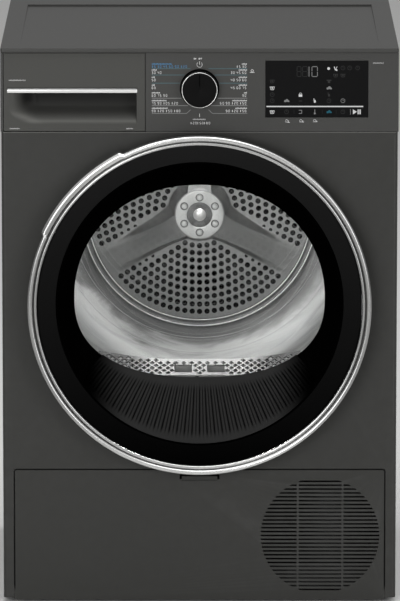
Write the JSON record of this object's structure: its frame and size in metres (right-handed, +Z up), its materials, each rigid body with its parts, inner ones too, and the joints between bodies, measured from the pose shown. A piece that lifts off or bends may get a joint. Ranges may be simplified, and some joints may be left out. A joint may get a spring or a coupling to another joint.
{
  "type": "clothes dryer",
  "caption": "Free-standing front-loading clothes dryer with a round glass door, programme knob, display, pull-out water tank and a louvred kick flap.",
  "frame": {"origin": "centre of the footprint on the floor", "axes": "+Z up, the door faces -Y, +X to the right seen from the front"},
  "size_m": [0.598, 0.6, 0.85],
  "materials": {
    "body_steel": "satin dark grey enamel",
    "worktop_plastic": "satin dark grey moulded worktop",
    "cast_aluminium": "grey painted casting",
    "zinc_steel": "galvanised sheet",
    "drum_steel": "stainless drum steel",
    "grey_plastic": "satin dark grey moulding",
    "black_plastic": "gloss black moulding",
    "dark_plastic": "matt black moulding",
    "pale_plastic": "pale grey moulding",
    "chrome_trim": "satin chrome plating",
    "clear_glass": "clear tempered glass",
    "display_glass": "gloss black display cover",
    "rubber": "soft black rubber",
    "felt": "wool felt",
    "circuit": "green circuit board",
    "bright_steel": "bright machined steel",
    "coil": "aluminium fins on copper tubes",
    "motor_paint": "grey motor paint"
  },
  "bodies": {
    "cabinet": {"front_panel": "body_steel", "top_panel": "worktop_plastic", "side_panel_left": "body_steel", "side_panel_right": "body_steel", "rear_panel": "zinc_steel", "rear_duct_cover": "dark_plastic", "base_tray": "dark_plastic", "control_panel": "grey_plastic", "cabinet_screws": "zinc_steel", "mains_inlet": "dark_plastic", "tank_housing": "dark_plastic", "display_window": "display_glass", "control_board": "circuit", "hinge_bracket": "zinc_steel", "hinge_pin": "bright_steel", "front_bulkhead": "pale_plastic", "drum_felts": "felt", "bearing_carrier": "zinc_steel", "drum_belt": "rubber", "drive_motor": "cast_aluminium", "fan_housing": "dark_plastic", "idler_spring": "zinc_steel", "compressor": "motor_paint", "heat_exchanger": "coil", "heat_exchanger_cover": "pale_plastic", "condensate_pump": "dark_plastic"},
    "door": {"door_trim_ring": "chrome_trim", "door_outer_frame": "black_plastic", "door_funnel": "black_plastic", "door_ribbed_apron": "dark_plastic", "door_glass": "clear_glass", "door_inner_frame": "grey_plastic", "door_seal": "rubber", "door_hinge_leaf": "zinc_steel", "door_hook": "zinc_steel"},
    "catch": {"door_catch": "dark_plastic"},
    "knob": {"program_knob": "black_plastic"},
    "tank_drawer": {"tank_front": "grey_plastic", "tank_grip_trim": "chrome_trim", "water_tank": "pale_plastic"},
    "drum": {"drum_shell": "drum_steel", "drum_back": "drum_steel", "drum_lifters": "pale_plastic", "drum_hub": "bright_steel", "hub_bolts": "bright_steel"},
    "motor_rotor": {"motor_pulley": "bright_steel", "fan_impeller": "pale_plastic"},
    "idler_swing_arm": {"idler_arm": "zinc_steel"},
    "idler_wheel": {"idler_pulley": "dark_plastic"},
    "left_roller": {"roller_left": "rubber"},
    "right_roller": {"roller_right": "rubber"},
    "flap": {"kick_flap": "grey_plastic"},
    "latch_tab": {"flap_latch": "grey_plastic"},
    "lever_left": {"cover_lever_left": "pale_plastic"},
    "lever_right": {"cover_lever_right": "pale_plastic"},
    "filter": {"lint_filter": "pale_plastic"},
    "front_left_foot": {"foot_front_left": "dark_plastic"},
    "front_right_foot": {"foot_front_right": "dark_plastic"},
    "rear_left_foot": {"foot_rear_left": "dark_plastic"},
    "rear_right_foot": {"foot_rear_right": "dark_plastic"}
  },
  "joints": [
    {"name": "door_hinge", "type": "hinge", "parent": "cabinet", "child": "door", "pos_m": [0.246, -0.284, 0.4635], "axis": [0, 0, 1], "range_deg": [0, 115]},
    {"name": "door_catch_slide", "type": "slide", "parent": "cabinet", "child": "catch", "axis": [-1, 0, 0], "range_m": [0, 0.004], "stiffness_N_per_m": 400},
    {"name": "knob_turn", "type": "hinge", "parent": "cabinet", "child": "knob", "pos_m": [0, -0.26, 0.78895], "axis": [0, 1, 0], "continuous": true},
    {"name": "tank_slide", "type": "slide", "parent": "cabinet", "child": "tank_drawer", "axis": [0, -1, 0], "range_m": [0, 0.35]},
    {"name": "drum_spin", "type": "hinge", "parent": "cabinet", "child": "drum", "pos_m": [0, 0.04, 0.526], "axis": [0, 1, 0], "continuous": true},
    {"name": "motor_spin", "type": "hinge", "parent": "cabinet", "child": "motor_rotor", "pos_m": [0.1, 0.04, 0.136], "axis": [0, 1, 0], "continuous": true},
    {"name": "idler_arm_swing", "type": "hinge", "parent": "cabinet", "child": "idler_swing_arm", "pos_m": [0.185, 0.04, 0.106], "axis": [0, 1, 0], "range_deg": [0, 6], "stiffness_Nm_per_rad": 4, "springref_deg": -11.46, "deforming": ["idler_spring"]},
    {"name": "idler_spin", "type": "hinge", "parent": "idler_swing_arm", "child": "idler_wheel", "pos_m": [0.16397, 0.04, 0.18955], "axis": [0, 1, 0], "continuous": true},
    {"name": "left_roller_spin", "type": "hinge", "parent": "cabinet", "child": "left_roller", "pos_m": [-0.19165, -0.13, 0.28069], "axis": [0, 1, 0], "continuous": true},
    {"name": "right_roller_spin", "type": "hinge", "parent": "cabinet", "child": "right_roller", "pos_m": [0.19165, -0.13, 0.28069], "axis": [0, 1, 0], "continuous": true},
    {"name": "flap_hinge", "type": "hinge", "parent": "cabinet", "child": "flap", "pos_m": [0, -0.252, 0.014], "axis": [1, 0, 0], "range_deg": [0, 90]},
    {"name": "latch_press", "type": "slide", "parent": "flap", "child": "latch_tab", "axis": [0, 1, 0], "range_m": [0, 0.0015], "stiffness_N_per_m": 500},
    {"name": "lever_left_turn", "type": "hinge", "parent": "cabinet", "child": "lever_left", "pos_m": [-0.242, -0.23, 0.104], "axis": [0, 1, 0], "range_deg": [0, 90]},
    {"name": "lever_right_turn", "type": "hinge", "parent": "cabinet", "child": "lever_right", "pos_m": [-0.07, -0.23, 0.104], "axis": [0, 1, 0], "range_deg": [-90, 0]},
    {"name": "filter_lift", "type": "slide", "parent": "cabinet", "child": "filter", "axis": [0, 0, 1], "range_m": [0, 0.09]},
    {"name": "front_left_foot_screw", "type": "slide", "parent": "cabinet", "child": "front_left_foot", "axis": [0, 0, -1], "range_m": [0, 0.012]},
    {"name": "front_right_foot_screw", "type": "slide", "parent": "cabinet", "child": "front_right_foot", "axis": [0, 0, -1], "range_m": [0, 0.012]},
    {"name": "rear_left_foot_screw", "type": "slide", "parent": "cabinet", "child": "rear_left_foot", "axis": [0, 0, -1], "range_m": [0, 0.012]},
    {"name": "rear_right_foot_screw", "type": "slide", "parent": "cabinet", "child": "rear_right_foot", "axis": [0, 0, -1], "range_m": [0, 0.012]}
  ],
  "couplings": [
    {"joint": "motor_spin", "follows": "drum_spin", "ratio": 31.889},
    {"joint": "idler_spin", "follows": "drum_spin", "ratio": -15.944},
    {"joint": "left_roller_spin", "follows": "drum_spin", "ratio": -11.958},
    {"joint": "right_roller_spin", "follows": "drum_spin", "ratio": -11.958}
  ]
}
